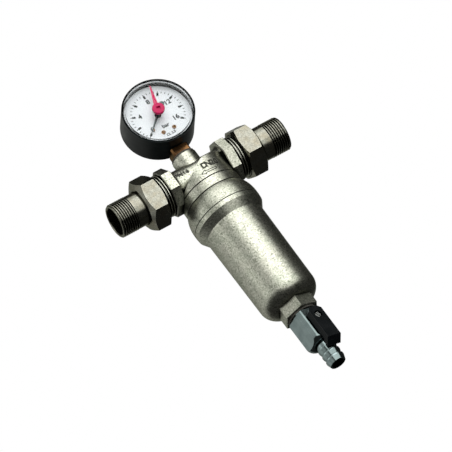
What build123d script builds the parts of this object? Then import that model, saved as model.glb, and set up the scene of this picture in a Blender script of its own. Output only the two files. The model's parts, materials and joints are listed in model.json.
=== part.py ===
from build123d import *
import os
from math import cos, degrees, radians, sin, tan

os.makedirs("parts", exist_ok=True)

# Self-cleaning water filter for a 3/4" pipe: a forged brass body with a union on each side, a
# screwed bowl that holds the mesh cartridge, a drain ball valve below it and a pressure gauge
# on top. The origin is the centre of the inlet end. Water flows towards -X, +Z is up and the
# gauge faces -Y. All sizes are in millimetres.

# ---------------------------------------------------------------- driving dimensions
half_length = 72.5  # bowl axis to either pipe end
bowl_x = -half_length
INLET = 1
OUTLET = -1
run_ends = {"inlet": INLET, "outlet": OUTLET}

# Threads: (crest radius, pitch). The pipe thread is drawn plain, the others as rings
pipe_thread_r = 13.22  # 3/4" pipe
pipe_thread_length = 14.0
union_thread = (16.625, 2.309)  # 1" union
bowl_thread = (24.9, 2.0)
gauge_thread_r = 6.5
drain_thread_r = 8.33
running_gap = 0.05

# Pipe run, measured outwards from the bowl axis
passage_r = 10.4
branch_r = 12.6
octagon_flats = 34.5
octagon_start = 21.0
octagon_end = 29.0
octagon_bevel = 0.6
octagon_turn = {INLET: 0.0, OUTLET: 22.5}
union_face = 44.0
gasket_thickness = 1.5
collar_thickness = 2.5
nut_start = 35.0
nut_end = 50.0
nut_flats = 37.0
nut_turn = {INLET: 31.0, OUTLET: 16.0}
tail_shank_r = 13.0
tail_bore_r = 10.75

# Body about the bowl axis
boss_r = 9.9
boss_top = 19.5
barrel_r = 24.0
ridge = (2.0, 1.3)  # highest point of the barrel's front, along the pipe and up
eaves_outlet = (-26.0, -15.5)
eaves_inlet = (26.0, 4.6)
step_levels = (-15.2, -23.6)
step_groove = 0.45  # depth and half width of the groove above each step
collar_r = 28.0
joint_z = -38.8
joint_bevel = 0.4
chamber_r = 19.6
spigot_seat_r = 22.65
port_wall_r = 12.0
port_r = 9.0
port_foot = -22.0

# Bowl
bowl_r = 23.8
bowl_foot_r = 23.4
bowl_bore_r = 19.4
flange_foot = -42.6
neck_z = -49.2
bowl_foot = -128.8
bottom_round = 11.0
bowl_floor = -122.0
bottom_hex_flats = 26.0
bottom_hex_foot = -138.6

# Drain valve
drain_top = -139.8
drain_foot = -167.6
drain_half_width = 10.4
drain_corner = 2.9
drain_turned_r = 12.7
drain_foot_round = 4.6
pivot_z = -151.0
stem_azimuth = radians(19.0)
ball_r = 7.0
ball_bore_r = 4.2
cavity_r = 7.9
stem_r = 3.0
lever_back = 10.9
lever_front = 16.0
lever_width = 12.2
lever_length = 21.2
lever_recess_r = 2.9
hose_tip = -186.5
hose_bore_r = 5.0

# Gauge, with depths measured from the bowl axis towards the front
gauge_z = 54.6
case_r = 27.0
case_bore_r = 25.4
case_back = -8.2
case_front = 17.0
window_front = 18.8
dial_face = 10.6
scale_start = radians(221.0)  # dial angle of the zero mark
gear_module = 0.5
pinion_teeth = 8
sector_teeth = 40
crank_r = 4.0  # sector pivot to link pin
link_length = 13.0

# ---------------------------------------------------------------- planes and shared outlines
bowl_axis = Axis((bowl_x, 0, 0), (0, 0, 1))
front_plane = Plane((bowl_x, 0, 0), x_dir=(1, 0, 0), z_dir=(0, -1, 0))
stem_axis = Vector(sin(stem_azimuth), -cos(stem_azimuth), 0)
pivot = Vector(bowl_x, 0, pivot_z)


def level(z):
    """Horizontal plane at height z, centred on the bowl axis."""
    return Plane((bowl_x, 0, z))


def run_profile(side):
    """Plane through the pipe axis: local x runs outwards on that side, local y is radius."""
    return Plane((bowl_x, 0, 0), x_dir=(side, 0, 0), z_dir=(0, -side, 0))


def run_section(side, distance):
    """Plane across the pipe at a distance from the bowl axis, facing outwards."""
    return Plane((bowl_x + side * distance, 0, 0), x_dir=(0, side, 0), z_dir=(side, 0, 0))


def stem_plane(distance):
    """Plane across the drain valve's stem, facing the lever."""
    along = Vector(cos(stem_azimuth), sin(stem_azimuth), 0)
    return Plane(pivot + stem_axis * distance, x_dir=along, z_dir=stem_axis)


def gauge_plane(depth, turn=0.0):
    """Plane parallel to the dial, centred on it, facing the front, with local x turned."""
    across = (cos(turn), 0, sin(turn))
    return Plane((bowl_x, -depth, gauge_z), x_dir=across, z_dir=(0, -1, 0))


def thread_rings(start, turns, crest_r, pitch):
    """Points (along, radius) of a row of 55 degree thread rings."""
    depth = 0.64 * pitch
    flank = depth * tan(radians(27.5))
    land = pitch / 2 - flank
    points = []
    for turn in range(turns):
        foot = start + turn * pitch
        points.append((foot, crest_r - depth))
        points.append((foot + flank, crest_r))
        points.append((foot + flank + land, crest_r))
        points.append((foot + 2 * flank + land, crest_r - depth))
    return points


def polar(radius, angle, centre=(0, 0)):
    """Point at a radius and an angle in radians from a centre."""
    return (centre[0] + radius * cos(angle), centre[1] + radius * sin(angle))


def keep(builder, name):
    """Label the finished sub-part and write it."""
    builder.part.label = name
    export_step(builder.part, f"parts/{name}.step")


# ---------------------------------------------------------------- body
with BuildPart() as body:
    # Barrel with a roof that falls away to the outlet side
    with BuildSketch(level(step_levels[1])):
        Circle(barrel_r)
    extrude(amount=35)
    with BuildSketch(front_plane):
        with BuildLine():
            Polyline(
                (eaves_outlet[0], step_levels[1]),
                (eaves_inlet[0], step_levels[1]),
                eaves_inlet,
                ridge,
                eaves_outlet,
                close=True,
            )
        make_face()
    extrude(amount=barrel_r + 1, both=True, mode=Mode.INTERSECT)

    # Lower barrel, in two small steps, and the collar that the bowl screws into
    with BuildSketch(front_plane):
        with BuildLine():
            step = Polyline(
                (0, step_levels[0]),
                (barrel_r - 0.4, step_levels[0]),
                (barrel_r + 0.4, step_levels[0] - 0.6),
                (barrel_r + 0.6, step_levels[1] + 0.4),
                (barrel_r + 0.2, step_levels[1]),
                (barrel_r + 1.0, step_levels[1] - 0.5),
            )
            shoulder = TangentArc((collar_r, joint_z + 2.4), step @ 1, tangent=(0, 1))
            Polyline(
                shoulder @ 0,
                (collar_r, joint_z + joint_bevel),
                (collar_r - joint_bevel, joint_z),
                (0, joint_z),
                (0, step_levels[0]),
            )
        make_face()
    revolve(axis=bowl_axis)
    with BuildSketch(front_plane):
        for radius, step_z in zip((barrel_r, barrel_r + 0.5), step_levels):
            with Locations((radius + 0.1, step_z + 0.1)):
                Rectangle(2 * step_groove, 2 * step_groove, rotation=45)
    revolve(axis=bowl_axis, mode=Mode.SUBTRACT)

    # Horizontal branch with its flared ends, octagons, union threads and gauge boss
    with BuildSketch(run_section(INLET, -octagon_start)):
        Circle(branch_r)
    extrude(amount=2 * octagon_start)
    for side in run_ends.values():
        with BuildSketch(run_profile(side)):
            with BuildLine():
                flare_start = (octagon_start - 3.8, branch_r)
                flare_end = (octagon_start + 0.2, branch_r + 3.8)
                flare = TangentArc(flare_start, flare_end, tangent=(1, 0))
                Polyline(flare @ 1, (flare_end[0], 0), (flare_start[0], 0), flare @ 0)
            make_face()
        revolve(axis=Axis.X)
        for plane_at, length, taper in (
            (octagon_start + octagon_bevel, -octagon_bevel, 45),
            (octagon_start + octagon_bevel, octagon_end - octagon_start - 2 * octagon_bevel, 0),
            (octagon_end - octagon_bevel, octagon_bevel, 45),
        ):
            with BuildSketch(run_section(side, plane_at)):
                RegularPolygon(
                    octagon_flats / 2, 8, major_radius=False, rotation=octagon_turn[side]
                )
            extrude(amount=length, taper=taper)
    for side in run_ends.values():
        crest_r, pitch = union_thread
        with BuildSketch(run_profile(side)):
            with BuildLine():
                Polyline(
                    (octagon_start, 0),
                    (octagon_start, crest_r - 2),
                    *thread_rings(octagon_end + 0.6, 6, crest_r, pitch),
                    (union_face, crest_r - 0.64 * pitch),
                    (union_face, 0),
                    close=True,
                )
            make_face()
        revolve(axis=Axis.X)
    with BuildSketch(level(0)):
        Circle(boss_r)
    extrude(amount=boss_top)
    chamfer(body.faces().sort_by(Axis.Z)[-1].edges(), 0.6)

    # Water ways: bowl seat, chamber round the cartridge, port, inlet and outlet passages
    with BuildSketch(front_plane):
        with BuildLine():
            Polyline(
                (0, joint_z),
                (bowl_thread[0] + 0.1, joint_z),
                (bowl_thread[0] + 0.1, -31.5),
                (spigot_seat_r, -31.5),
                (spigot_seat_r, -25.4),
                (chamber_r, -25.4),
                (chamber_r, -12.5),
                (port_wall_r, -12.5),
                (port_wall_r, port_foot),
                (0, port_foot),
                close=True,
            )
        make_face()
    revolve(axis=bowl_axis, mode=Mode.SUBTRACT)
    with BuildSketch(level(port_foot)):
        Circle(port_r)
    extrude(amount=-port_foot, mode=Mode.SUBTRACT)
    with BuildSketch(run_section(OUTLET, -5)):
        Circle(passage_r)
    extrude(amount=union_face + 5, mode=Mode.SUBTRACT)
    with BuildSketch(run_section(INLET, 12.8)):
        Circle(passage_r)
    extrude(amount=union_face - 12.8, mode=Mode.SUBTRACT)
    with BuildSketch(level(-13)):
        with Locations((16.2, 0), (13.6, 8.6), (13.6, -8.6)):
            Circle(3.2)
    extrude(amount=13, mode=Mode.SUBTRACT)

    # Gauge port
    with BuildSketch(level(boss_top)):
        Circle(gauge_thread_r + 0.1)
    extrude(amount=-7, mode=Mode.SUBTRACT)
    with BuildSketch(level(boss_top)):
        Circle(2.5)
    extrude(amount=-boss_top, mode=Mode.SUBTRACT)
keep(body, "body")

# ---------------------------------------------------------------- unions
for end, side in run_ends.items():
    collar_face = union_face + gasket_thickness
    collar_back = collar_face + collar_thickness
    thread_start = half_length - pipe_thread_length

    with BuildPart() as tailpiece:
        with BuildSketch(run_profile(side)):
            with BuildLine():
                Polyline(
                    (collar_face, tail_bore_r),
                    (collar_face, union_thread[0] - 0.8),
                    (collar_back, union_thread[0] - 0.8),
                    (collar_back, tail_shank_r),
                    (thread_start, tail_shank_r),
                    (thread_start, pipe_thread_r),
                    (half_length, pipe_thread_r),
                    (half_length, tail_bore_r + 0.5),
                    (half_length - 0.5, tail_bore_r),
                    close=True,
                )
            make_face()
        revolve(axis=Axis.X)
    keep(tailpiece, f"{end}_tailpiece")

    with BuildPart() as gasket:
        with BuildSketch(run_section(side, union_face)):
            Circle(union_thread[0] - 1.4)
            Circle(passage_r + 0.2, mode=Mode.SUBTRACT)
        extrude(amount=gasket_thickness)
    keep(gasket, f"{end}_gasket")

    # The nut is a hexagon turned to a long bevel at its outer end and a short one inside
    with BuildPart() as union_nut:
        with BuildSketch(run_section(side, nut_start)):
            RegularPolygon(nut_flats / 2, 6, major_radius=False, rotation=nut_turn[side])
        extrude(amount=nut_end - nut_start)
        with BuildSketch(run_profile(side)):
            with BuildLine():
                Polyline(
                    (nut_start, union_thread[0] + 0.7),
                    (nut_start, nut_flats / 2 - 0.4),
                    (nut_start + 1.8, nut_flats / 2 + 3.2),
                    (nut_end - 3.4, nut_flats / 2 + 3.2),
                    (nut_end, nut_flats / 2 - 2.4),
                    (nut_end, tail_shank_r + 0.5),
                    (collar_back + 0.02, tail_shank_r + 0.5),
                    (collar_back + 0.02, union_thread[0] + 0.1),
                    (nut_start + 0.6, union_thread[0] + 0.1),
                    close=True,
                )
            make_face()
        revolve(axis=Axis.X, mode=Mode.INTERSECT)
    keep(union_nut, f"{end}_union_nut")

# ---------------------------------------------------------------- bowl
groove_top = -27.0
groove_foot = -29.4
groove_r = 20.9

with BuildPart() as bowl:
    with BuildSketch(front_plane):
        with BuildLine():
            skirt = Polyline(
                (bowl_bore_r, -25.8),
                (spigot_seat_r - 0.15, -25.8),
                (spigot_seat_r - 0.15, groove_top),
                (groove_r, groove_top),
                (groove_r, groove_foot),
                (spigot_seat_r - 0.15, groove_foot),
                (spigot_seat_r - 0.15, -31.6),
                *[(radius, -along) for along, radius in thread_rings(31.8, 3, *bowl_thread)],
                (bowl_thread[0] - 1.28, joint_z - 0.05),
                (collar_r - joint_bevel, joint_z - 0.05),
                (collar_r, joint_z - joint_bevel),
                (collar_r - 0.3, flange_foot),
                (bowl_r + 0.1, neck_z),
                (bowl_foot_r, bowl_foot + bottom_round),
            )
            corner = TangentArc(
                skirt @ 1, (bowl_foot_r - bottom_round, bowl_foot), tangent=(0, -1)
            )
            floor_edge = bowl_bore_r - 4
            Polyline(corner @ 1, (0, bowl_foot), (0, bowl_floor), (floor_edge, bowl_floor))
            inside = TangentArc(
                (floor_edge, bowl_floor), (bowl_bore_r, bowl_floor + 4), tangent=(1, 0)
            )
            Line(inside @ 1, skirt @ 0)
        make_face()
    revolve(axis=bowl_axis)
    with BuildSketch(level(bowl_foot + 1)):
        RegularPolygon(bottom_hex_flats / 2, 6, major_radius=False, rotation=26)
    extrude(amount=bottom_hex_foot - bowl_foot - 1)
    chamfer(bowl.faces().sort_by(Axis.Z)[0].edges(), 0.5)
    with BuildSketch(level(bottom_hex_foot)):
        Circle(drain_thread_r + running_gap)
    extrude(amount=8.4, mode=Mode.SUBTRACT)
    with BuildSketch(level(bottom_hex_foot)):
        Circle(4.5)
    extrude(amount=bowl_floor - bottom_hex_foot, mode=Mode.SUBTRACT)
keep(bowl, "bowl")

with BuildPart() as bowl_o_ring:
    section_r = (spigot_seat_r - groove_r) / 2 - 0.03
    with BuildSketch(front_plane):
        with Locations(((spigot_seat_r + groove_r) / 2, (groove_top + groove_foot) / 2)):
            Circle(section_r)
    revolve(axis=bowl_axis)
keep(bowl_o_ring, "bowl_o_ring")

# ---------------------------------------------------------------- filter cartridge
mesh_r = 15.95
support_r = 15.6
cartridge_top = -22.3
mesh_top = -26.5
mesh_foot = -113.5
window_rows = 9
window_columns = 3  # cut right through, so each makes two windows

with BuildPart() as cartridge_support:
    with BuildSketch(level(mesh_foot)):
        Circle(support_r)
        Circle(support_r - 1.3, mode=Mode.SUBTRACT)
    extrude(amount=mesh_top - mesh_foot)
    window_pitch = (mesh_top - mesh_foot - 4) / window_rows
    for column in range(window_columns):
        turn = radians(180 / window_columns * column)
        facing = Plane(
            (bowl_x, 0, (mesh_top + mesh_foot) / 2),
            x_dir=(cos(turn), sin(turn), 0),
            z_dir=(sin(turn), -cos(turn), 0),
        )
        with BuildSketch(facing):
            with GridLocations(0, window_pitch, 1, window_rows):
                RectangleRounded(11, window_pitch - 2, 1)
        extrude(amount=support_r + 1, both=True, mode=Mode.SUBTRACT)
keep(cartridge_support, "cartridge_support")

with BuildPart() as filter_mesh:
    with BuildSketch(level(mesh_foot)):
        Circle(mesh_r)
        Circle(mesh_r - 0.25, mode=Mode.SUBTRACT)
    extrude(amount=mesh_top - mesh_foot)
keep(filter_mesh, "filter_mesh")

with BuildPart() as cartridge_top_ring:
    with BuildSketch(front_plane):
        with BuildLine():
            Polyline(
                (6.0, mesh_top + 0.02),
                (17.4, mesh_top + 0.02),
                (17.4, cartridge_top),
                (8.5, cartridge_top),
                (8.5, -19.7),
                (7.0, -19.7),
                (7.0, -17.7),
                (8.5, -17.7),
                (8.5, -15.4),
                (8.0, -14.9),
                (6.0, -14.9),
                close=True,
            )
        make_face()
    revolve(axis=bowl_axis)
    with BuildSketch(level(mesh_top + 0.02)):
        Circle(17.4)
        Circle(mesh_r + running_gap, mode=Mode.SUBTRACT)
    extrude(amount=-3.5)
keep(cartridge_top_ring, "cartridge_top_ring")

with BuildPart() as cartridge_seal:
    with BuildSketch(front_plane):
        with Locations((8.0, -18.7)):
            Circle(0.95)
    revolve(axis=bowl_axis)
keep(cartridge_seal, "cartridge_seal")

with BuildPart() as cartridge_bottom_ring:
    with BuildSketch(level(bowl_floor + 0.05)):
        Circle(17.4)
        Circle(13.6, mode=Mode.SUBTRACT)
    extrude(amount=mesh_foot - bowl_floor + 3.5)
    with BuildSketch(level(mesh_foot - 0.02)):
        Circle(mesh_r + running_gap)
    extrude(amount=8, mode=Mode.SUBTRACT)
    # Turned away below, to stand inside the rounded floor, and notched into four feet
    with BuildSketch(level(bowl_floor)):
        Circle(18)
        Circle(15.2, mode=Mode.SUBTRACT)
    extrude(amount=5, mode=Mode.SUBTRACT)
    with BuildSketch(level(bowl_floor)):
        Rectangle(40, 12)
        Rectangle(12, 40)
    extrude(amount=4, mode=Mode.SUBTRACT)
keep(cartridge_bottom_ring, "cartridge_bottom_ring")

# ---------------------------------------------------------------- drain valve
seat_bore_r = 4.4
seat_reach = 6.6  # ball centre to the seats' outer faces
gland_floor = 8.65
collar_start = 7.9  # stem collar, clear of the seats

with BuildPart() as drain_valve_body:
    width = 2 * drain_half_width
    with BuildSketch(level(drain_top)) as valve_section:
        Rectangle(width, width, rotation=degrees(stem_azimuth))
        chamfer(valve_section.vertices(), drain_corner)
    extrude(amount=drain_foot - drain_top)
    with BuildSketch(front_plane):
        with BuildLine():
            turned = Polyline(
                (0, drain_foot),
                (0, drain_top),
                (drain_turned_r - 1.0, drain_top),
                (drain_turned_r, drain_top - 0.8),
                (drain_turned_r, drain_foot + drain_foot_round),
            )
            foot_edge = (drain_turned_r - drain_foot_round, drain_foot)
            curve = TangentArc(turned @ 1, foot_edge, tangent=(0, -1))
            Line(curve @ 1, turned @ 0)
        make_face()
    revolve(axis=bowl_axis, mode=Mode.INTERSECT)
    with BuildSketch(level(drain_top)):
        Circle(drain_thread_r)
    extrude(amount=8.8)
    with BuildSketch(level(drain_foot)):
        Circle(cavity_r)
    extrude(amount=pivot_z + seat_reach - drain_foot, mode=Mode.SUBTRACT)
    with BuildSketch(level(pivot_z)):
        Circle(seat_bore_r)
    extrude(amount=25, mode=Mode.SUBTRACT)
    with BuildSketch(stem_plane(0)):
        Circle(4.3)
    extrude(amount=gland_floor, mode=Mode.SUBTRACT)
    with BuildSketch(stem_plane(0)):
        Circle(stem_r + running_gap)
    extrude(amount=drain_half_width + 1, mode=Mode.SUBTRACT)
keep(drain_valve_body, "drain_valve_body")

with BuildPart() as drain_gasket:
    with BuildSketch(level(drain_top)):
        Circle(11.8)
        Circle(drain_thread_r + running_gap, mode=Mode.SUBTRACT)
    extrude(amount=bottom_hex_foot - drain_top)
keep(drain_gasket, "drain_gasket")

with BuildPart() as drain_ball:
    with Locations(pivot):
        Sphere(ball_r)
    with BuildSketch(level(pivot_z)):
        Circle(ball_bore_r)
    extrude(amount=ball_r, both=True, mode=Mode.SUBTRACT)
    with BuildSketch(stem_plane(5.6)):
        Rectangle(2.2, 2 * ball_r)
    extrude(amount=2, mode=Mode.SUBTRACT)
keep(drain_ball, "drain_ball")

for name, direction in (("upper", 1), ("lower", -1)):
    with BuildPart() as ball_seat:
        with BuildSketch(level(pivot_z + direction * seat_reach)):
            Circle(cavity_r - 0.1)
            Circle(seat_bore_r, mode=Mode.SUBTRACT)
        extrude(amount=-3 * direction)
        with Locations(pivot):
            Sphere(ball_r + running_gap, mode=Mode.SUBTRACT)
    keep(ball_seat, f"{name}_ball_seat")

with BuildPart() as drain_stem:
    with BuildSketch(stem_plane(5.65)):
        Rectangle(2.0, 6.8)
    extrude(amount=collar_start - 5.65)
    with BuildSketch(stem_plane(collar_start)):
        Circle(4.2)
    extrude(amount=gland_floor - running_gap - collar_start)
    with BuildSketch(stem_plane(collar_start)):
        Circle(stem_r)
    extrude(amount=lever_back + 0.7 - collar_start)
    with BuildSketch(stem_plane(9.0)):
        Circle(stem_r + 1)
        Circle(stem_r - 0.7, mode=Mode.SUBTRACT)
    extrude(amount=1.0, mode=Mode.SUBTRACT)
    with BuildSketch(stem_plane(lever_back + 0.7)):
        Circle(1.55)
    extrude(amount=-3.5, mode=Mode.SUBTRACT)
keep(drain_stem, "drain_stem")

with BuildPart() as stem_o_ring:
    with BuildSketch(stem_plane(9.5)):
        Circle(stem_r + 0.02)
        Circle(stem_r - 0.68, mode=Mode.SUBTRACT)
    extrude(amount=0.4, both=True)
    fillet(stem_o_ring.edges(), 0.2)
keep(stem_o_ring, "stem_o_ring")

with BuildPart() as hose_tail:
    plug_top = pivot_z - seat_reach
    barbs = 3
    barb_pitch = 5.2
    barb_start = hose_tip + barbs * barb_pitch
    outline = [(seat_bore_r, plug_top), (cavity_r - 0.1, plug_top), (cavity_r - 0.1, drain_foot)]
    outline += [(6.9, drain_foot), (6.9, barb_start)]
    for barb in range(barbs):
        ridge_z = barb_start - barb * barb_pitch
        outline += [(7.4, ridge_z - 0.4), (7.4, ridge_z - 1.6), (6.3, ridge_z - barb_pitch)]
    outline += [(hose_bore_r, hose_tip), (hose_bore_r, plug_top - 6)]
    with BuildSketch(front_plane):
        with BuildLine():
            Polyline(*outline, close=True)
        make_face()
    revolve(axis=bowl_axis)
keep(hose_tail, "hose_tail")

with BuildPart() as drain_lever:
    lever_thickness = lever_front - lever_back
    head_reach = 7.4
    with BuildSketch(stem_plane(lever_back)) as lever_outline:
        with Locations((0, (head_reach - lever_length) / 2)):
            Rectangle(lever_width, head_reach + lever_length)
        chamfer(lever_outline.vertices().group_by(Axis.Y)[-1], 3.2)
    extrude(amount=lever_thickness)
    # Wedge end: it reaches further down at the back, and its heel hangs in below the valve
    with BuildSketch(Plane(pivot, x_dir=stem_axis, z_dir=stem_plane(0).x_dir * -1)):
        with BuildLine():
            Polyline(
                (8.9, -19.6),
                (lever_back, -19.6),
                (lever_back, -lever_length + 1),
                (lever_front, -lever_length + 1),
                (lever_front, -lever_length),
                (8.9, -lever_length - 3.8),
                close=True,
            )
        make_face()
    extrude(amount=lever_width / 2, both=True)
    fillet(drain_lever.edges().filter_by(lambda edge: edge.length > 15), 0.6)
    with BuildSketch(stem_plane(lever_back)):
        Circle(stem_r + 0.1)
    extrude(amount=lever_thickness, mode=Mode.SUBTRACT)
    with BuildSketch(stem_plane(lever_back + 0.7)):
        Circle(lever_recess_r)
    extrude(amount=lever_thickness, mode=Mode.SUBTRACT)
keep(drain_lever, "drain_lever")

with BuildPart() as lever_screw:
    with BuildSketch(stem_plane(lever_back + 0.72)):
        Circle(1.5)
    extrude(amount=-3.2)
    with BuildSketch(stem_plane(lever_back + 0.72)):
        Circle(lever_recess_r - 0.3)
    extrude(amount=3.2)
    chamfer(lever_screw.faces().sort_by(SortBy.AREA)[-1].edges(), 0.4)
    with BuildSketch(stem_plane(lever_back + 3.2)):
        Rectangle(0.8, 8, rotation=35)
    extrude(amount=2, mode=Mode.SUBTRACT)
keep(lever_screw, "lever_screw")

# ---------------------------------------------------------------- gauge housing
dial_back = dial_face - 0.6
block_front = 1.6
block_back = -5.3
block_half = 5.5
tube_r = 17.0
case_screw_spots = ((-3.5, -22.3), (3.5, -22.3))
mount_screw_spots = ((-3.0, -20.9), (3.0, -20.9))
dial_screw_spots = ((-4.6, -14.6), (4.6, -14.6))

with BuildPart() as gauge_seal_washer:
    with BuildSketch(level(boss_top)):
        Circle(boss_r - 0.5)
        Circle(gauge_thread_r + 0.2, mode=Mode.SUBTRACT)
    extrude(amount=1.2)
keep(gauge_seal_washer, "gauge_seal_washer")

with BuildPart() as gauge_socket:
    with BuildSketch(level(boss_top + 1.2)):
        Circle(gauge_thread_r)
    extrude(amount=-7.9)
    with BuildSketch(level(boss_top + 1.2)) as spanner_square:
        Rectangle(14, 14)
        chamfer(spanner_square.vertices(), 1.2)
    extrude(amount=6.3)
    with BuildSketch(level(boss_top + 7)):
        Circle(4.9)
    extrude(amount=3.6)
    # Block inside the case, with the post that holds the root of the pressure tube
    with BuildSketch(gauge_plane(block_back)):
        with Locations((0, -21.45)):
            Rectangle(2 * block_half, 6.5)
        with Locations((1.4, -17)):
            Rectangle(5.2, 4)
    extrude(amount=block_front - block_back)
    with BuildSketch(level(boss_top - 6.7)):
        Circle(1.5)
    extrude(amount=gauge_z - tube_r - boss_top + 6.7, mode=Mode.SUBTRACT)
    with BuildSketch(Plane((bowl_x, 1.5, gauge_z - tube_r), z_dir=(-1, 0, 0))):
        Circle(0.5)
    extrude(amount=2, mode=Mode.SUBTRACT)
    with BuildSketch(gauge_plane(block_back)):
        with Locations(*case_screw_spots):
            Circle(1.25)
    extrude(amount=3.8, mode=Mode.SUBTRACT)
    with BuildSketch(gauge_plane(block_front)):
        with Locations(*mount_screw_spots):
            Circle(0.85)
    extrude(amount=-2.8, mode=Mode.SUBTRACT)
keep(gauge_socket, "gauge_socket")

with BuildPart() as gauge_case:
    with BuildSketch(gauge_plane(case_back)):
        Circle(case_r)
    extrude(amount=case_front - case_back)
    fillet(gauge_case.faces().sort_by(Axis.Y)[-1].edges(), 1.5)
    with BuildSketch(gauge_plane(case_back + 1.6)):
        Circle(case_bore_r)
    extrude(amount=case_front - case_back, mode=Mode.SUBTRACT)
    with BuildSketch(gauge_plane(dial_back - 1.3)):
        Circle(case_bore_r + 0.2)
        Circle(case_bore_r - 1.5, mode=Mode.SUBTRACT)
    extrude(amount=1.25)
    with BuildSketch(level(boss_top + 7)):
        Circle(5)
    extrude(amount=8, mode=Mode.SUBTRACT)
    with BuildSketch(gauge_plane(case_back)):
        with Locations(*case_screw_spots):
            Circle(1.3)
    extrude(amount=2, mode=Mode.SUBTRACT)
keep(gauge_case, "gauge_case")

with BuildPart() as case_screws:
    with BuildSketch(gauge_plane(case_back)):
        with Locations(*case_screw_spots):
            Circle(2.1)
    extrude(amount=-0.9)
    with BuildSketch(gauge_plane(case_back)):
        with Locations(*case_screw_spots):
            Circle(1.2)
    extrude(amount=5)
    with BuildSketch(gauge_plane(case_back - 0.9)):
        with Locations(*case_screw_spots):
            Rectangle(2.4, 0.6)
            Rectangle(0.6, 2.4)
    extrude(amount=0.6, mode=Mode.SUBTRACT)
keep(case_screws, "case_screws")

with BuildPart() as gauge_window:
    with BuildSketch(gauge_plane(case_front)):
        Circle(case_r - 0.4)
    extrude(amount=window_front - case_front)
    chamfer(gauge_window.faces().sort_by(Axis.Y)[0].edges(), 0.7)
    with BuildSketch(gauge_plane(case_front)):
        Circle(case_bore_r - 0.1)
        Circle(case_bore_r - 1.2, mode=Mode.SUBTRACT)
    extrude(amount=-2.8)
    with BuildSketch(gauge_plane(case_front)):
        Circle(1.56)
    extrude(amount=3, mode=Mode.SUBTRACT)
keep(gauge_window, "gauge_window")

with BuildPart() as gauge_dial:
    with BuildSketch(gauge_plane(dial_back)):
        Circle(case_bore_r - 0.5)
        Circle(2.5, mode=Mode.SUBTRACT)
        with Locations(*dial_screw_spots):
            Circle(0.85, mode=Mode.SUBTRACT)
    extrude(amount=dial_face - dial_back)
keep(gauge_dial, "gauge_dial")

with BuildPart() as dial_screws:
    with BuildSketch(gauge_plane(dial_face)):
        with Locations(*dial_screw_spots):
            Circle(1.5)
    extrude(amount=0.7)
    with BuildSketch(gauge_plane(dial_face)):
        with Locations(*dial_screw_spots):
            Circle(0.8)
    extrude(amount=-4)
    with BuildSketch(gauge_plane(dial_face + 0.4)):
        with Locations(*dial_screw_spots):
            Circle(0.8)
    extrude(amount=1, mode=Mode.SUBTRACT)
keep(dial_screws, "dial_screws")

# ---------------------------------------------------------------- gauge movement
plate_thickness = 1.0
front_plate_back = 8.4
front_plate_face = front_plate_back + plate_thickness
back_plate_face = block_front + plate_thickness
sector_pivot = (0.0, -gear_module * (pinion_teeth + sector_teeth) / 2)
pillar_spots = ((-4.2, 4.0), (4.2, 4.0), (-4.2, -18.0))
crank_rest = radians(-87.0)
link_angle = radians(30.0)
crank_middle = polar(crank_r / 2, crank_rest, sector_pivot)
crank_end = polar(crank_r, crank_rest, sector_pivot)
link_middle = polar(link_length / 2, link_angle, crank_end)
link_end = polar(link_length, link_angle, crank_end)
tube_end_angle = radians(-21.0)
tip_angle = radians(-27.5)
arbor_r = 0.8


def tooth(centre, pitch_r, angle, half_pitch, half_tip):
    """Straight-sided gear tooth: root, tip, tip and root points."""
    root_r = pitch_r - 0.6
    tip_r = pitch_r + 0.45
    half_root = half_pitch + (half_pitch - half_tip) * 0.6 / 0.45
    return [
        polar(root_r, angle - half_root / root_r, centre),
        polar(tip_r, angle - half_tip / tip_r, centre),
        polar(tip_r, angle + half_tip / tip_r, centre),
        polar(root_r, angle + half_root / root_r, centre),
    ]


with BuildPart() as movement_back_plate:
    with BuildSketch(gauge_plane(block_front)):
        with Locations((0, -9)):
            RectangleRounded(10.4, 28, 1)
        with Locations((0, 0), sector_pivot, *mount_screw_spots):
            Circle(arbor_r + running_gap, mode=Mode.SUBTRACT)
    extrude(amount=plate_thickness)
keep(movement_back_plate, "movement_back_plate")

with BuildPart() as movement_front_plate:
    with BuildSketch(gauge_plane(front_plate_back)):
        with Locations((0, -7)):
            RectangleRounded(12.6, 25, 1)
        with Locations((0, 0), sector_pivot, *dial_screw_spots):
            Circle(arbor_r + running_gap, mode=Mode.SUBTRACT)
        with Locations(*pillar_spots):
            Circle(0.55, mode=Mode.SUBTRACT)
    extrude(amount=plate_thickness)
keep(movement_front_plate, "movement_front_plate")

with BuildPart() as movement_pillars:
    with BuildSketch(gauge_plane(back_plate_face)):
        with Locations(*pillar_spots):
            Circle(0.95)
    extrude(amount=front_plate_back - back_plate_face)
    with BuildSketch(gauge_plane(front_plate_back)):
        with Locations(*pillar_spots):
            Circle(0.55)
    extrude(amount=-3, mode=Mode.SUBTRACT)
keep(movement_pillars, "movement_pillars")

with BuildPart() as movement_screws:
    for radius, length in ((1.3, 0.45), (0.5, -3.5)):
        with BuildSketch(gauge_plane(front_plate_face)):
            with Locations(*pillar_spots):
                Circle(radius)
        extrude(amount=length)
keep(movement_screws, "movement_screws")

with BuildPart() as movement_mount_screws:
    for radius, length in ((1.5, 0.8), (arbor_r, -3.6)):
        with BuildSketch(gauge_plane(back_plate_face)):
            with Locations(*mount_screw_spots):
                Circle(radius)
        extrude(amount=length)
keep(movement_mount_screws, "movement_mount_screws")

with BuildPart() as dial_spacers:
    with BuildSketch(gauge_plane(front_plate_face)):
        with Locations(*dial_screw_spots):
            Circle(1.6)
            Circle(0.85, mode=Mode.SUBTRACT)
    extrude(amount=dial_back - front_plate_face)
keep(dial_spacers, "dial_spacers")

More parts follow.
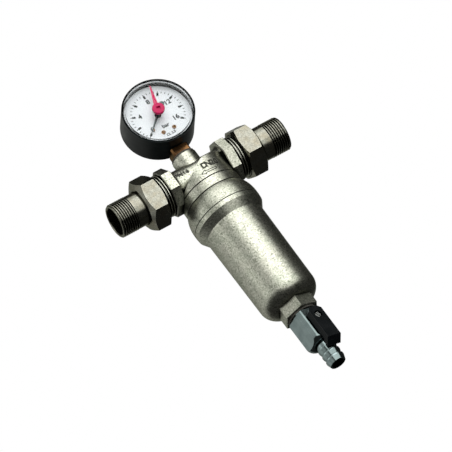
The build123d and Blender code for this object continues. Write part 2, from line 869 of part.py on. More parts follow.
with BuildPart() as pinion_arbor:
    with BuildSketch(gauge_plane(block_front + 0.1)):
        Circle(arbor_r)
    extrude(amount=dial_face + 1.6 - block_front - 0.1)
    with BuildSketch(gauge_plane(4.1)):
        with BuildLine():
            points = []
            for count in range(pinion_teeth):
                angle = radians(-90) + radians(360) * (count + 0.5) / pinion_teeth
                points += tooth((0, 0), gear_module * pinion_teeth / 2, angle, 0.28, 0.12)
            Polyline(*points, close=True)
        make_face()
    extrude(amount=2)
    with BuildSketch(gauge_plane(6.9)):
        Circle(1.15)
    extrude(amount=0.6)
keep(pinion_arbor, "pinion_arbor")

with BuildPart() as sector_gear:
    with BuildSketch(gauge_plane(4.6)):
        with BuildLine():
            points = [sector_pivot]
            for count in range(-7, 2):
                angle = radians(90) + radians(360) * count / sector_teeth
                pitch_r = gear_module * sector_teeth / 2
                points += tooth(sector_pivot, pitch_r, angle, 0.30, 0.16)
            Polyline(*points, close=True)
        make_face()
        with Locations(crank_middle):
            SlotCenterToCenter(crank_r, 2.6, rotation=degrees(crank_rest))
        with Locations(sector_pivot):
            Circle(2)
            Circle(arbor_r, mode=Mode.SUBTRACT)
        with Locations(*[polar(6.4, radians(angle), sector_pivot) for angle in (42, 63, 84)]):
            Circle(0.9, mode=Mode.SUBTRACT)
        with Locations(crank_end):
            Circle(0.6, mode=Mode.SUBTRACT)
    extrude(amount=1.0)
keep(sector_gear, "sector_gear")

with BuildPart() as sector_arbor:
    with BuildSketch(gauge_plane(block_front + 0.1)):
        with Locations(sector_pivot):
            Circle(arbor_r)
    extrude(amount=front_plate_face - block_front - 0.2)
keep(sector_arbor, "sector_arbor")

with BuildPart() as link_pin:
    with BuildSketch(gauge_plane(3.2)):
        with Locations(crank_end):
            Circle(0.6)
    extrude(amount=2.4)
keep(link_pin, "link_pin")

with BuildPart() as sector_link:
    with BuildSketch(gauge_plane(3.4)):
        with Locations(link_middle):
            SlotCenterToCenter(link_length, 3.2, rotation=degrees(link_angle))
        with Locations(crank_end):
            Circle(0.65, mode=Mode.SUBTRACT)
        with Locations(link_end):
            Circle(1.12, mode=Mode.SUBTRACT)
    extrude(amount=0.6)
keep(sector_link, "sector_link")

with BuildPart() as tube_tip:
    tip_centre = polar(tube_r, tip_angle)
    with BuildSketch(gauge_plane(-3.6)):
        with BuildLine():
            Line(link_end, tip_centre)
        trace(line_width=2.4)
        with Locations(link_end):
            Circle(1.6)
        with Locations(tip_centre):
            Circle(1.85)
    extrude(amount=4.4)
    with BuildSketch(gauge_plane(0.8)):
        with Locations(link_end):
            Circle(0.6)
    extrude(amount=3.4)
keep(tube_tip, "tube_tip")

with BuildPart() as bourdon_tube:
    gauge_axis = Axis((bowl_x, 0, gauge_z), (0, -1, 0))
    radial = (cos(tube_end_angle), 0, sin(tube_end_angle))
    tangent = (sin(tube_end_angle), 0, -cos(tube_end_angle))
    with BuildSketch(Plane((bowl_x, 1.5, gauge_z), x_dir=radial, z_dir=tangent)):
        with Locations((tube_r, 0)):
            RectangleRounded(2.2, 5, 1.0)
            RectangleRounded(1.0, 3.8, 0.45, mode=Mode.SUBTRACT)
    revolve(axis=gauge_axis, revolution_arc=286.4)
keep(bourdon_tube, "bourdon_tube")

with BuildPart() as hairspring:
    with BuildSketch(gauge_plane(7.0)):
        with BuildLine():
            for count in range(14):
                side = 1 if count % 2 == 0 else -1
                start_x = side * (1.3 + 0.2 * count)
                end_x = -side * (1.3 + 0.2 * (count + 1))
                middle = ((start_x + end_x) / 2, side * abs(start_x - end_x) / 2)
                ThreePointArc((start_x, 0), middle, (end_x, 0))
            Line((end_x, 0), (end_x, 3.0))
        trace(line_width=0.15)
    extrude(amount=0.4)
keep(hairspring, "hairspring")

# ---------------------------------------------------------------- hands
pointer_length = 17.5
pointer_tail = 9.6
set_pointer_length = 22.3
set_pointer_angle = radians(73.0)
set_pointer_back = 15.9

with BuildPart() as gauge_pointer:
    with BuildSketch(gauge_plane(dial_face + 1.0, scale_start)):
        with BuildLine():
            Polyline(
                (-pointer_tail, 0.6),
                (0, 1.0),
                (pointer_length, 0.2),
                (pointer_length, -0.2),
                (0, -1.0),
                (-pointer_tail, -0.6),
                close=True,
            )
        make_face()
        with Locations((-pointer_tail, 0)):
            Circle(1.9)
        Circle(1.9)
    extrude(amount=0.5)
    with BuildSketch(gauge_plane(dial_face + 0.6)):
        Circle(1.9)
    extrude(amount=1.4)
    with BuildSketch(gauge_plane(dial_face + 0.6)):
        Circle(arbor_r + 0.01)
    extrude(amount=1.1, mode=Mode.SUBTRACT)
keep(gauge_pointer, "gauge_pointer")

with BuildPart() as zero_stop_pin:
    stop_angle = scale_start + radians(4.6)
    with BuildSketch(gauge_plane(dial_face)):
        with Locations(polar(14.0, stop_angle)):
            Circle(0.5)
    extrude(amount=1.9)
keep(zero_stop_pin, "zero_stop_pin")

with BuildPart() as set_pointer:
    with BuildSketch(gauge_plane(set_pointer_back, set_pointer_angle)):
        with BuildLine():
            Polyline(
                (0, 2.1),
                (set_pointer_length, 0.35),
                (set_pointer_length, -0.35),
                (0, -2.1),
                close=True,
            )
        make_face()
        Circle(2.4)
        Circle(1.5, mode=Mode.SUBTRACT)
    extrude(amount=0.5)
keep(set_pointer, "set_pointer")

with BuildPart() as set_pointer_knob:
    with BuildSketch(gauge_plane(set_pointer_back)):
        Circle(1.5)
    extrude(amount=window_front + 0.05 - set_pointer_back)
    with BuildSketch(gauge_plane(window_front + 0.05)):
        Circle(4.6)
    extrude(amount=2.35)
    chamfer(set_pointer_knob.faces().sort_by(Axis.Y)[0].edges(), 0.3)
    with BuildSketch(gauge_plane(window_front + 2.4, set_pointer_angle)):
        Rectangle(3.0, 3.0)
    extrude(amount=-1.6, mode=Mode.SUBTRACT)
keep(set_pointer_knob, "set_pointer_knob")
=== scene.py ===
"""Inline water filter with a pressure gauge and drain valve: looks, light and camera."""
import json
from math import cos, pi, radians, sin

import bmesh
import bpy
from mathutils import Matrix, Vector

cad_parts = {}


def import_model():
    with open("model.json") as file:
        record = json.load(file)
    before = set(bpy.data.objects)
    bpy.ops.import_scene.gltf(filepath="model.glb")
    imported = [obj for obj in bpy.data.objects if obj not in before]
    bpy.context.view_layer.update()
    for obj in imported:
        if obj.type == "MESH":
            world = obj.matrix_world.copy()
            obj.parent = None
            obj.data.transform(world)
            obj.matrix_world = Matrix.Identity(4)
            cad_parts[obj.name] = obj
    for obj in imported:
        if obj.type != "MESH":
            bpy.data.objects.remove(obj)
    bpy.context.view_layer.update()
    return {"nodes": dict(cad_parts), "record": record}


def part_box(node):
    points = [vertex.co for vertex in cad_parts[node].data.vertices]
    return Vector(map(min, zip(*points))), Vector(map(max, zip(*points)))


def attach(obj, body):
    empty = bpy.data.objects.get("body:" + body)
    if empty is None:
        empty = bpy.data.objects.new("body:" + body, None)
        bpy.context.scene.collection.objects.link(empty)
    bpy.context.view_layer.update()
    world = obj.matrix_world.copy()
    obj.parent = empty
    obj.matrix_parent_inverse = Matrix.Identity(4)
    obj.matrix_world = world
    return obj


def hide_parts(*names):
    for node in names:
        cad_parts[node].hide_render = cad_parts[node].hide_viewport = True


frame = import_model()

NODES = frame["nodes"]
MM = 0.001

# ---------------------------------------------------------------- places taken from the CAD
dial_low, dial_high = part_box("gauge_dial")
DIAL_CENTRE = (dial_low + dial_high) / 2
DIAL_FACE_Y = dial_low.y
bowl_low, bowl_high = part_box("bowl")
AXIS_X = (bowl_low.x + bowl_high.x) / 2
BOWL_AXIS = Vector((AXIS_X, 0, 0))


# ---------------------------------------------------------------- node helpers
# The Mix node has sockets of the same name for each kind of value. These are the colour ones.
MIX_FIRST_COLOUR = 6
MIX_SECOND_COLOUR = 7
MIX_RESULT_COLOUR = 2


class Shader:
    """A node material on one Principled shader, with short calls for what repeats."""

    def __init__(self, name):
        self.material = bpy.data.materials.new(name)
        self.material.use_nodes = True
        self.tree = self.material.node_tree
        self.principled = self.tree.nodes["Principled BSDF"]
        self.place = self.node("ShaderNodeTexCoord").outputs["Object"]

    def node(self, kind, settings=None, **inputs):
        """A node with its settings and its inputs, where each is a number or another's socket."""
        made = self.tree.nodes.new(kind)
        for key, value in (settings or {}).items():
            setattr(made, key, value)
        for key, value in inputs.items():
            self.set(made.inputs[key.replace("_", " ")], value)
        return made

    def set(self, socket, value):
        """Give a socket a number or colour, or link another node's socket to it."""
        if isinstance(value, bpy.types.NodeSocket):
            self.tree.links.new(value, socket)
        else:
            socket.default_value = value

    def surface(self, **inputs):
        """Set or link inputs of the Principled shader."""
        for key, value in inputs.items():
            self.set(self.principled.inputs[key.replace("_", " ")], value)

    def noise(self, size, detail=2.0, stretch=None):
        """Noise from 0 to 1 whose blobs are about `size` metres across."""
        place = self.place
        if stretch:
            scaled = self.node("ShaderNodeMapping", Vector=place, Scale=stretch)
            place = scaled.outputs["Vector"]
        made = self.node("ShaderNodeTexNoise", Vector=place, Scale=1 / size, Detail=detail)
        return made.outputs["Fac"]

    def grains(self, size):
        """A random value from 0 to 1 for each little cell, `size` metres across."""
        cells = self.node("ShaderNodeTexVoronoi", Vector=self.place, Scale=1 / size)
        split = self.node("ShaderNodeSeparateColor", Color=cells.outputs["Color"])
        return split.outputs["Red"]

    def ramp(self, value, low, high, from_low=0.0, from_high=1.0):
        """value, mapped from one range to another and clamped."""
        made = self.node("ShaderNodeMapRange", Value=value)
        made.inputs["From Min"].default_value = from_low
        made.inputs["From Max"].default_value = from_high
        made.inputs["To Min"].default_value = low
        made.inputs["To Max"].default_value = high
        return made.outputs["Result"]

    def maths(self, operation, first, second=0.0):
        """One arithmetic step on two numbers or sockets."""
        made = self.node("ShaderNodeMath", {"operation": operation})
        self.set(made.inputs[0], first)
        self.set(made.inputs[1], second)
        return made.outputs["Value"]

    def mix(self, factor, first, second):
        """A colour between two: the first at factor 0, the second at factor 1."""
        made = self.node("ShaderNodeMix", {"data_type": "RGBA"})
        self.set(made.inputs["Factor"], factor)
        self.set(made.inputs[MIX_FIRST_COLOUR], first)
        self.set(made.inputs[MIX_SECOND_COLOUR], second)
        return made.outputs[MIX_RESULT_COLOUR]

    def edges(self, radius):
        """0 on flat faces, up to 1 on sharp edges."""
        soft = self.node("ShaderNodeBevel", {"samples": 6}, Radius=radius)
        true = self.node("ShaderNodeNewGeometry")
        dot = self.node("ShaderNodeVectorMath", {"operation": "DOT_PRODUCT"})
        self.set(dot.inputs[0], soft.outputs["Normal"])
        self.set(dot.inputs[1], true.outputs["Normal"])
        return self.ramp(dot.outputs["Value"], 1.0, 0.0, 0.90, 0.995)

    def crevices(self, reach):
        """Painted shade mask: 1 in the open, falling to 0 in narrow gaps and inside corners."""
        made = self.node("ShaderNodeAmbientOcclusion", {"samples": 8}, Distance=reach)
        return self.ramp(made.outputs["AO"], 0.0, 1.0, 0.52, 0.86)

    def bump(self, height, depth):
        """A normal for a relief of the given depth in metres."""
        made = self.node("ShaderNodeBump", Height=height, Distance=depth, Strength=1.0)
        return made.outputs["Normal"]


def rgb(red, green, blue):
    """An opaque colour."""
    return (red, green, blue, 1.0)


# ---------------------------------------------------------------- materials
EDGE_TINT = rgb(0.55, 0.56, 0.52)  # the metals darken where they turn away
SPECK = 0.7 * MM  # the little cells that mottle the metals


def shaded(colour, share):
    """A colour at a share of its brightness."""
    return rgb(*[min(1.0, value * share) for value in colour[:3]])


def blasted_metal(name, shade=1.0):
    """Nickel over a bead-blasted forging: fine bright and dark specks, stains, brighter edges, painted
    shade in crevices.
    """
    s = Shader(name)
    grain = s.noise(0.5 * MM, 2.0)
    speckle = s.grains(SPECK)
    stain = s.ramp(s.noise(14 * MM, 4.0), 0.0, 1.0, 0.35, 0.65)
    base = s.mix(stain, shaded(rgb(0.40, 0.41, 0.345), shade), shaded(rgb(0.47, 0.46, 0.40), shade))
    dark = s.mix(s.ramp(speckle, 0.8, 0.0, 0.0, 0.3), base, shaded(rgb(0.12, 0.13, 0.10), shade))
    bright = shaded(rgb(0.78, 0.76, 0.69), shade)
    spotted = s.mix(s.ramp(speckle, 0.0, 0.6, 0.6, 1.0), dark, bright)
    wear_and_edge_highlight = s.mix(s.maths("MULTIPLY", s.edges(0.5 * MM), 0.7), spotted, bright)
    s.surface(
        # Painted shade: near-black in narrow gaps and inside corners.
        Base_Color=s.mix(s.crevices(4.0 * MM), rgb(0.02, 0.022, 0.018), wear_and_edge_highlight),
        Metallic=1.0,
        Roughness=s.ramp(grain, 0.25, 0.38, 0.3, 0.7),
        Normal=s.bump(grain, 0.04 * MM),
    )
    s.principled.inputs["Specular Tint"].default_value = EDGE_TINT
    return s.material


def turned_metal(name, colour, stained, roughness, mottle=0.0):
    """Machined and plated metal: turning lines across X, stains, dark specks, brighter edges that are
    partly wear and partly a painted highlight, painted shade in crevices.
    """
    s = Shader(name)
    lines = s.noise(2 * MM, 2.0, stretch=(8, 0.3, 0.3))
    stain = s.noise(6 * MM, 3.0)
    edge = s.edges(0.3 * MM)
    base = s.mix(s.ramp(stain, 0.0, 1.0, 0.35, 0.65), colour, stained)
    specks = s.ramp(s.grains(SPECK), mottle, 0.0)
    base = s.mix(specks, base, shaded(colour, 0.35))
    # Edges paled to 1.7 times the colour: partly wear, partly a painted highlight on chamfers and
    # corners.
    wear_and_edge_highlight = s.mix(edge, base, shaded(colour, 1.7))
    s.surface(
        # Painted shade: the colour falls to near-black in narrow gaps and inside corners.
        Base_Color=s.mix(s.crevices(2.0 * MM), shaded(colour, 0.08), wear_and_edge_highlight),
        Metallic=1.0,
        Roughness=s.ramp(stain, roughness * 0.8, roughness * 1.25, 0.3, 0.7),
        Normal=s.bump(lines, 0.012 * MM),
    )
    s.principled.inputs["Specular Tint"].default_value = EDGE_TINT
    return s.material


def plastic(name, colour, wear_and_edge_highlight, roughness, grain=0.25 * MM, depth=0.008 * MM, gloss=0.5):
    """Moulded plastic or rubber with a fine grain and paler edges."""
    s = Shader(name)
    fine = s.noise(grain, 2.0)
    haze = s.noise(9 * MM, 3.0)
    edge = s.edges(0.35 * MM)
    base = s.mix(s.ramp(haze, 0.0, 0.35, 0.4, 0.7), colour, wear_and_edge_highlight)
    s.surface(
        Base_Color=s.mix(s.maths("MULTIPLY", edge, 0.45), base, wear_and_edge_highlight),
        Roughness=s.ramp(haze, roughness * 0.85, roughness * 1.2, 0.3, 0.7),
        Normal=s.bump(fine, depth),
    )
    s.principled.inputs["Specular IOR Level"].default_value = gloss
    return s.material


def clear_plastic():
    """Clear moulded window that lets light through to the dial."""
    s = Shader("clear_window")
    haze = s.noise(7 * MM, 2.0)
    s.surface(
        Base_Color=rgb(0.97, 0.99, 0.99),
        Roughness=s.ramp(haze, 0.0, 0.015, 0.3, 0.7),
        IOR=1.2,
    )
    s.principled.inputs["Transmission Weight"].default_value = 1.0
    open_air = s.node("ShaderNodeBsdfTransparent", Color=rgb(0.93, 0.95, 0.95))
    path = s.node("ShaderNodeLightPath")
    both = s.node("ShaderNodeMixShader")
    s.set(both.inputs[0], path.outputs["Is Shadow Ray"])
    s.set(both.inputs[1], s.principled.outputs["BSDF"])
    s.set(both.inputs[2], open_air.outputs["BSDF"])
    s.set(s.tree.nodes["Material Output"].inputs["Surface"], both.outputs["Shader"])
    return s.material


def woven_mesh():
    """Stainless wire cloth."""
    s = Shader("stainless_mesh")
    weave = s.node("ShaderNodeTexWave", {"bands_direction": "Z"}, Vector=s.place, Scale=2500.0)
    cross = s.noise(0.3 * MM, 1.0)
    both = s.maths("MULTIPLY", weave.outputs["Fac"], cross)
    s.surface(
        Base_Color=s.mix(both, rgb(0.30, 0.30, 0.29), rgb(0.72, 0.72, 0.70)),
        Metallic=1.0,
        Roughness=0.35,
        Normal=s.bump(both, 0.03 * MM),
    )
    return s.material


NICKEL = rgb(0.33, 0.325, 0.285)
NICKEL_STAINED = rgb(0.28, 0.255, 0.20)
CHROME = rgb(0.28, 0.34, 0.35)
CHROME_STAINED = rgb(0.22, 0.27, 0.28)
BRASS = rgb(0.17, 0.085, 0.035)
BRASS_STAINED = rgb(0.05, 0.025, 0.012)
BRONZE = rgb(0.52, 0.30, 0.15)
BRONZE_STAINED = rgb(0.36, 0.19, 0.09)
STEEL = rgb(0.50, 0.50, 0.50)
STEEL_STAINED = rgb(0.38, 0.39, 0.40)
LEVER_BLACK = rgb(0.002, 0.003, 0.004)
LEVER_WORN = rgb(0.01, 0.011, 0.013)
CASE_BLACK = rgb(0.003, 0.005, 0.006)
CASE_WORN = rgb(0.008, 0.012, 0.013)
HAND_RED = rgb(0.50, 0.0, 0.07)
HAND_WORN = rgb(0.70, 0.005, 0.17)
LOOKS = {
    "blasted_nickel": blasted_metal("blasted_nickel"),
    "satin_nickel": turned_metal("satin_nickel", NICKEL, NICKEL_STAINED, 0.20, 0.6),
    "chrome_plate": turned_metal("chrome_plate", CHROME, CHROME_STAINED, 0.08),
    "plain_brass": turned_metal("plain_brass", BRASS, BRASS_STAINED, 0.20),
    "tube_bronze": turned_metal("tube_bronze", BRONZE, BRONZE_STAINED, 0.30),
    "steel_screw": turned_metal("steel_screw", STEEL, STEEL_STAINED, 0.25),
    "black_rubber": plastic("black_rubber", rgb(0.02, 0.02, 0.02), rgb(0.05, 0.05, 0.05), 0.6),
    "fibre": plastic("fibre", rgb(0.05, 0.045, 0.04), rgb(0.13, 0.11, 0.09), 0.8, 0.5 * MM, 0.05 * MM),
    "white_plastic": plastic("white_plastic", rgb(0.80, 0.80, 0.78), rgb(0.88, 0.88, 0.86), 0.45),
    "ptfe": plastic("ptfe", rgb(0.86, 0.86, 0.84), rgb(0.92, 0.92, 0.90), 0.5),
    "lever_plastic": plastic("lever_plastic", LEVER_BLACK, LEVER_WORN, 0.28, gloss=0.12),
    "case_black": plastic("case_black", CASE_BLACK, CASE_WORN, 0.34, gloss=0.12),
    "pointer_black": plastic("pointer_black", rgb(0.012, 0.03, 0.035), rgb(0.04, 0.06, 0.06), 0.4),
    "dial_white": plastic("dial_white", rgb(0.68, 0.67, 0.72), rgb(0.72, 0.71, 0.75), 0.45),
    "set_hand_red": plastic("set_hand_red", HAND_RED, HAND_WORN, 0.22, gloss=0.25),
    "clear_window": clear_plastic(),
    "stainless_mesh": woven_mesh(),
}
for row in frame["record"]["subparts"]:
    for material_slot in NODES[row["node"]].material_slots:
        material_slot.material = LOOKS[row["material_slot"]]


def add_object(name, data):
    """New object in the scene."""
    made = bpy.data.objects.new(name, data)
    bpy.context.scene.collection.objects.link(made)
    return made


# ---------------------------------------------------------------- dial print
INK = plastic("ink_black", rgb(0.004, 0.006, 0.008), rgb(0.012, 0.014, 0.016), 0.5, gloss=0.1)
INK_DEPTH = 0.03 * MM
SCALE_TOP = 16  # bar
STEPS_PER_BAR = 2
STEPS_PER_THICK_TICK = 4
NUMBER_EVERY = 4  # bar
SCALE_START = radians(-131)
SCALE_SWEEP = radians(260)
TICK_INNER_R = 16.4 * MM  # thick ticks reach in to here
TICK_MIDDLE_R = 18.9 * MM
TICK_OUTER_R = 20.3 * MM
THICK_TICK = 1.6 * MM
THICK_TICK_END = 0.6 * MM
THIN_TICK = 0.5 * MM
NUMBER_R = 13.1 * MM


def dial_point(radius, angle, lift=0.0):
    """Point on the dial at a radius and an angle clockwise from the top."""
    x = DIAL_CENTRE.x + radius * sin(angle)
    z = DIAL_CENTRE.z + radius * cos(angle)
    return Vector((x, DIAL_FACE_Y - lift, z))


def scale_angle(pressure):
    """Angle of a pressure's mark: the scale starts low on the left and sweeps clockwise."""
    return SCALE_START + SCALE_SWEEP * pressure / SCALE_TOP


def add_bar(mesh, start_r, end_r, width, angle):
    """A thin printed bar along the radius."""
    side = Vector((cos(angle), 0, -sin(angle))) * (width / 2)
    near, far = dial_point(start_r, angle), dial_point(end_r, angle)
    lift = Vector((0, -INK_DEPTH, 0))
    low = [mesh.verts.new(p) for p in (near - side, near + side, far + side, far - side)]
    top = [mesh.verts.new(v.co + lift) for v in low]
    mesh.faces.new(top)
    mesh.faces.new(low[::-1])
    for first in range(4):
        second = (first + 1) % 4
        mesh.faces.new((low[first], low[second], top[second], top[first]))


def object_from(mesh, name, look, body):
    """Mesh object from a bmesh, riding on a body."""
    bmesh.ops.recalc_face_normals(mesh, faces=mesh.faces)
    data = bpy.data.meshes.new(name)
    mesh.to_mesh(data)
    mesh.free()
    data.materials.append(look)
    made = add_object(name, data)
    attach(made, body)
    return made


def dial_scale():
    """Ticks of the scale: every fourth one is thick and longer."""
    mesh = bmesh.new()
    for step in range(SCALE_TOP * STEPS_PER_BAR + 1):
        angle = scale_angle(step / STEPS_PER_BAR)
        if step % STEPS_PER_THICK_TICK == 0:
            add_bar(mesh, TICK_INNER_R, TICK_MIDDLE_R, THICK_TICK, angle)
            add_bar(mesh, TICK_MIDDLE_R, TICK_OUTER_R, THICK_TICK_END, angle)
        else:
            add_bar(mesh, TICK_MIDDLE_R, TICK_OUTER_R, THIN_TICK, angle)
    object_from(mesh, "dial_scale_print", INK, "valve_body")


def lettering(name, text, size, centre, look, thickness=INK_DEPTH, turn=0.0, bold=0.0):
    """Flat letters on a surface that faces the front; turn swings them round the bowl's axis."""
    curve = bpy.data.curves.new(name, "FONT")
    curve.body = text
    curve.size = size
    curve.align_x = "CENTER"
    curve.align_y = "CENTER"
    curve.extrude = thickness / 2
    curve.bevel_depth = bold
    made = add_object(name, curve)
    upright = Matrix.Rotation(turn, 4, "Z") @ Matrix.Rotation(radians(90), 4, "X")
    made.matrix_world = Matrix.Translation(centre) @ upright
    curve.materials.append(look)
    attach(made, "valve_body")
    return made


def dial_text(name, text, size, bold, radius, angle):
    """A printed text on the dial, centred at a radius and an angle."""
    lettering(name, text, size, dial_point(radius, angle, INK_DEPTH / 2), INK, bold=bold)


dial_scale()
for value in range(0, SCALE_TOP + 1, NUMBER_EVERY):
    dial_text(f"dial_number_{value}", str(value), 5.4 * MM, 0.15 * MM, NUMBER_R, scale_angle(value))
dial_text("dial_unit", "bar", 4.2 * MM, 0.14 * MM, 10.3 * MM, pi)
dial_text("dial_class", "CL 2.5", 2.8 * MM, 0.10 * MM, 17.9 * MM, pi)


# ---------------------------------------------------------------- raised marks on the body
BARREL_R = 24.0 * MM
BRANCH_R = 12.6 * MM
# Near-black nickel for the raised marks: painted shade, standing for the shade round the raised
# letters.
MARK_PAINTED_SHADE = blasted_metal("mark_painted_shade", 0.14)
MARK_WIRE = 0.27 * MM  # half thickness of an outlined mark
SIZE_MARK_HEIGHT = -5.6  # the marks' places are in millimetres, from the pipe axis upwards
SIZE_MARK_START = 0.2
SIZE_MARK_STEP = 3.5


def barrel_point(along, height):
    """Point on the barrel's front, `along` millimetres round it and `height` above the pipe axis."""
    angle = along * MM / BARREL_R
    return BOWL_AXIS + Vector((BARREL_R * sin(angle), -BARREL_R * cos(angle), height * MM))


def size_mark():
    """Nominal size in outlined letters, set one by one round the barrel."""
    for count, letter in enumerate("DN20"):
        along = SIZE_MARK_START + SIZE_MARK_STEP * count
        place = barrel_point(along, SIZE_MARK_HEIGHT)
        made = lettering(
            f"size_mark_{count}", letter, 6.4 * MM, place, MARK_PAINTED_SHADE, turn=along * MM / BARREL_R
        )
        made.data.fill_mode = "NONE"
        made.data.extrude = 0.0
        made.data.bevel_depth = MARK_WIRE


def flow_arrow():
    """Hollow arrow under the size mark, pointing to the outlet."""
    tip, neck, tail = -5.2, -1.6, 7.8
    head, shaft = 1.7, 0.75
    level = -10.9
    corners = [
        (tip, 0),
        (neck, head),
        (neck, shaft),
        (tail, shaft),
        (tail, -shaft),
        (neck, -shaft),
        (neck, -head),
    ]
    steps = 6  # per side, so that each follows the barrel
    points = []
    for start, end in zip(corners, corners[1:] + corners[:1]):
        for step in range(steps):
            share = step / steps
            along = start[0] + (end[0] - start[0]) * share
            height = start[1] + (end[1] - start[1]) * share
            points.append(barrel_point(along, level + height))
    curve = bpy.data.curves.new("flow_arrow", "CURVE")
    curve.dimensions = "3D"
    curve.bevel_depth = MARK_WIRE
    spline = curve.splines.new("POLY")
    spline.points.add(len(points) - 1)
    for corner, point in zip(spline.points, points):
        corner.co = (*point, 1.0)
    spline.use_cyclic_u = True
    curve.materials.append(MARK_PAINTED_SHADE)
    made = add_object("flow_arrow", curve)
    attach(made, "valve_body")


def pressure_mark():
    """Pressure class on the outlet branch's front."""
    place = BOWL_AXIS + Vector((-13.2 * MM, -BRANCH_R, 2.6 * MM))
    lettering("pressure_mark", "PN16", 5.2 * MM, place, MARK_PAINTED_SHADE, 0.9 * MM)


size_mark()
flow_arrow()
pressure_mark()

# ---------------------------------------------------------------- threaded tailpieces
TAIL_BORE_R = 10.75 * MM
TAIL_SHANK_R = 13.0 * MM
TAIL_COLLAR = 2.5 * MM
THREAD_CREST_R = 13.22 * MM
THREAD_PITCH = 1.814 * MM
THREAD_LENGTH = 14.0 * MM
THREAD_DEPTH = 1.16 * MM
THREAD_CREST = 0.10  # half the crest's flat and one flank, as shares of the pitch
THREAD_FLANK = 0.30
THREAD_CHAMFER = 0.9 * MM
BORE_CHAMFER = 0.5 * MM
THREAD_SIDES = 96
ROWS_PER_PITCH = 14


def thread_radius(inset, turn):
    """Radius of a right-hand thread at a distance in from its end and a share of a turn."""
    phase = (inset / THREAD_PITCH + turn) % 1.0
    down = min(1.0, max(0.0, (abs(phase - 0.5) - THREAD_CREST) / THREAD_FLANK))
    chamfer = max(0.0, THREAD_CHAMFER - inset)
    return THREAD_CREST_R - max(THREAD_DEPTH * down, chamfer)


def tail_profile(turn, collar_face, end, collar_r):
    """Points (x, radius) round a tailpiece's wall at a share of a turn."""
    side = 1 if end > collar_face else -1
    thread_start = end - side * THREAD_LENGTH
    points = [
        (collar_face, TAIL_BORE_R),
        (collar_face, collar_r),
        (collar_face + side * TAIL_COLLAR, collar_r),
        (collar_face + side * TAIL_COLLAR, TAIL_SHANK_R),
        (thread_start, TAIL_SHANK_R),
    ]
    rows = int(THREAD_LENGTH / THREAD_PITCH * ROWS_PER_PITCH)
    for row in range(rows + 1):
        inset = THREAD_LENGTH * (1 - row / rows)
        points.append((end - side * inset, thread_radius(inset, side * turn)))
    points.append((end, TAIL_BORE_R + BORE_CHAMFER))
    points.append((end - side * BORE_CHAMFER, TAIL_BORE_R))
    return points


def threaded_tail(node, body):
    """The tailpiece with its real thread, in place of the CAD's plain one."""
    low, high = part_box(node)
    inner, outer = sorted((low.x, high.x), key=lambda x: abs(x - AXIS_X))
    collar_r = (high.z - low.z) / 2
    mesh = bmesh.new()
    columns = []
    for side in range(THREAD_SIDES):
        turn = side / THREAD_SIDES
        angle = 2 * pi * turn
        column = []
        for x, radius in tail_profile(turn, inner, outer, collar_r):
            column.append(mesh.verts.new((x, radius * cos(angle), radius * sin(angle))))
        columns.append(column)
    for first, second in zip(columns, columns[1:] + columns[:1]):
        for row in range(len(first)):
            after = (row + 1) % len(first)
            mesh.faces.new((first[row], first[after], second[after], second[row]))
    for face in mesh.faces:
        face.smooth = True
    made = object_from(mesh, f"{node}_threaded", LOOKS["satin_nickel"], body)
    made.data.set_sharp_from_angle(angle=radians(35))
    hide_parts(node)


threaded_tail("inlet_tailpiece", "inlet_tail")
threaded_tail("outlet_tailpiece", "outlet_tail")

# ---------------------------------------------------------------- stage
FLOOR_Z = -1.15
FLOOR_HALF_WIDTH = 0.7


def floor():
    """Plain pale floor, far below because the filter hangs in its pipe."""
    mesh = bmesh.new()
    bmesh.ops.create_grid(mesh, x_segments=2, y_segments=2, size=FLOOR_HALF_WIDTH)
    data = bpy.data.meshes.new("floor")
    mesh.to_mesh(data)
    mesh.free()
    data.materials.append(plastic("floor_pale", rgb(0.8, 0.8, 0.8), rgb(0.84, 0.84, 0.84), 0.8))
    made = add_object("floor", data)
    made.location = (AXIS_X, 0, FLOOR_Z)
    made.visible_glossy = False  # the underside mirrors the dark room instead


floor()

# ---------------------------------------------------------------- camera
# The picture's right and up as directions of the part, at the photograph's viewing angle
PICTURE_RIGHT = Vector((0.8382, -0.0364, -0.5442)).normalized()
PICTURE_UP = Vector((0.4456, -0.5299, 0.7216)).normalized()
TOWARDS_CAMERA = PICTURE_RIGHT.cross(PICTURE_UP).normalized()
PICTURE_UP = TOWARDS_CAMERA.cross(PICTURE_RIGHT).normalized()
CAMERA_DISTANCE = 1.5
VIEW_WIDTH = 0.328  # what the picture spans
TARGET = BOWL_AXIS + PICTURE_RIGHT * 0.02005 - PICTURE_UP * 0.03519


def facing(right, up, back, place):
    """Matrix whose local X, Y and Z are right, up and back."""
    turn = Matrix((right, up, back)).transposed().to_4x4()
    turn.translation = place
    return turn


camera_data = bpy.data.cameras.new("camera")
camera_data.type = "ORTHO"  # the photograph was taken from far away
camera_data.ortho_scale = VIEW_WIDTH
camera_data.clip_end = 50
camera = add_object("camera", camera_data)
place = TARGET + TOWARDS_CAMERA * CAMERA_DISTANCE
camera.matrix_world = facing(PICTURE_RIGHT, PICTURE_UP, TOWARDS_CAMERA, place)
bpy.context.scene.camera = camera


# ---------------------------------------------------------------- light
def direction(turn, rise):
    """Direction at an azimuth (0 is the front, 90 the inlet side) and an elevation in degrees."""
    turn, rise = radians(turn), radians(rise)
    return Vector((sin(turn) * cos(rise), -cos(turn) * cos(rise), sin(rise)))


def soft_light(name, towards, distance, width, height, power):
    """Upright area light in a direction from the target, facing it."""
    data = bpy.data.lights.new(name, "AREA")
    data.shape = "RECTANGLE"
    data.size = width
    data.size_y = height
    data.energy = power
    made = add_object(name, data)
    across = Vector((0, 0, 1)).cross(towards).normalized()
    place = TARGET + towards * distance
    made.matrix_world = facing(across, towards.cross(across), towards, place)


soft_light("key", direction(12, 25), 1.2, 0.9, 1.4, 4.2)

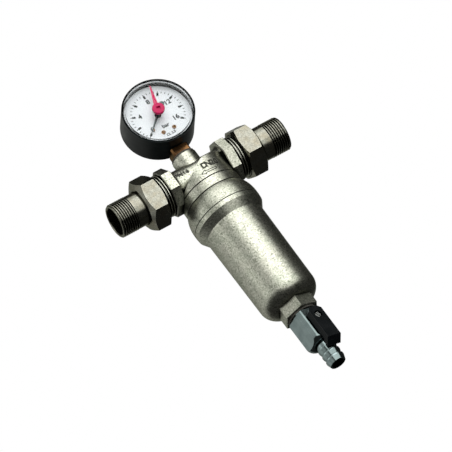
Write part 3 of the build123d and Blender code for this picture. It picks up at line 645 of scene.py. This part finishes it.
# Bright patches of the room: direction, strength, and the cosines where each starts and is full
ROOM_DARK = 0.03
ROOM_TINT = rgb(0.97, 1.0, 0.94)
PATCHES = (
    (direction(12, 4), 1.6, 0.70, 0.84),
    (direction(12, 44), 1.5, 0.72, 0.86),
    (direction(-60, 22), 0.62, 0.70, 0.90),
    (direction(-105, 22), 0.62, 0.70, 0.90),
    (direction(-150, 20), 0.50, 0.70, 0.90),
    (direction(175, 20), 0.40, 0.70, 0.92),
    (direction(-78, 22), 1.15, 0.92, 0.985),
)


def world():
    """White behind the object for the camera; a dark room with soft bright patches lights it."""
    made = bpy.data.worlds.new("studio")
    made.use_nodes = True
    tree = made.node_tree
    nodes, links = tree.nodes, tree.links
    room = nodes["Background"]
    room.inputs["Color"].default_value = ROOM_TINT
    place = nodes.new("ShaderNodeTexCoord")
    total = None
    for towards, strength, start, end in PATCHES:
        dot = nodes.new("ShaderNodeVectorMath")
        dot.operation = "DOT_PRODUCT"
        dot.inputs[1].default_value = towards
        shade = nodes.new("ShaderNodeMapRange")
        shade.interpolation_type = "SMOOTHSTEP"
        shade.inputs["From Min"].default_value = start
        shade.inputs["From Max"].default_value = end
        shade.inputs["To Min"].default_value = 0.0
        shade.inputs["To Max"].default_value = strength
        both = nodes.new("ShaderNodeMath")
        both.operation = "MAXIMUM"
        both.inputs[1].default_value = ROOM_DARK
        links.new(place.outputs["Generated"], dot.inputs[0])
        links.new(dot.outputs["Value"], shade.inputs["Value"])
        links.new(shade.outputs["Result"], both.inputs[0])
        if total is not None:
            links.new(total, both.inputs[1])
        total = both.outputs["Value"]
    links.new(total, room.inputs["Strength"])
    white = nodes.new("ShaderNodeBackground")
    white.inputs["Color"].default_value = rgb(1, 1, 1)
    path = nodes.new("ShaderNodeLightPath")
    seen = nodes.new("ShaderNodeMixShader")
    links.new(path.outputs["Is Camera Ray"], seen.inputs[0])
    links.new(room.outputs["Background"], seen.inputs[1])
    links.new(white.outputs["Background"], seen.inputs[2])
    links.new(seen.outputs["Shader"], nodes["World Output"].inputs["Surface"])
    bpy.context.scene.world = made


world()
bpy.context.scene.view_settings.view_transform = "Standard"
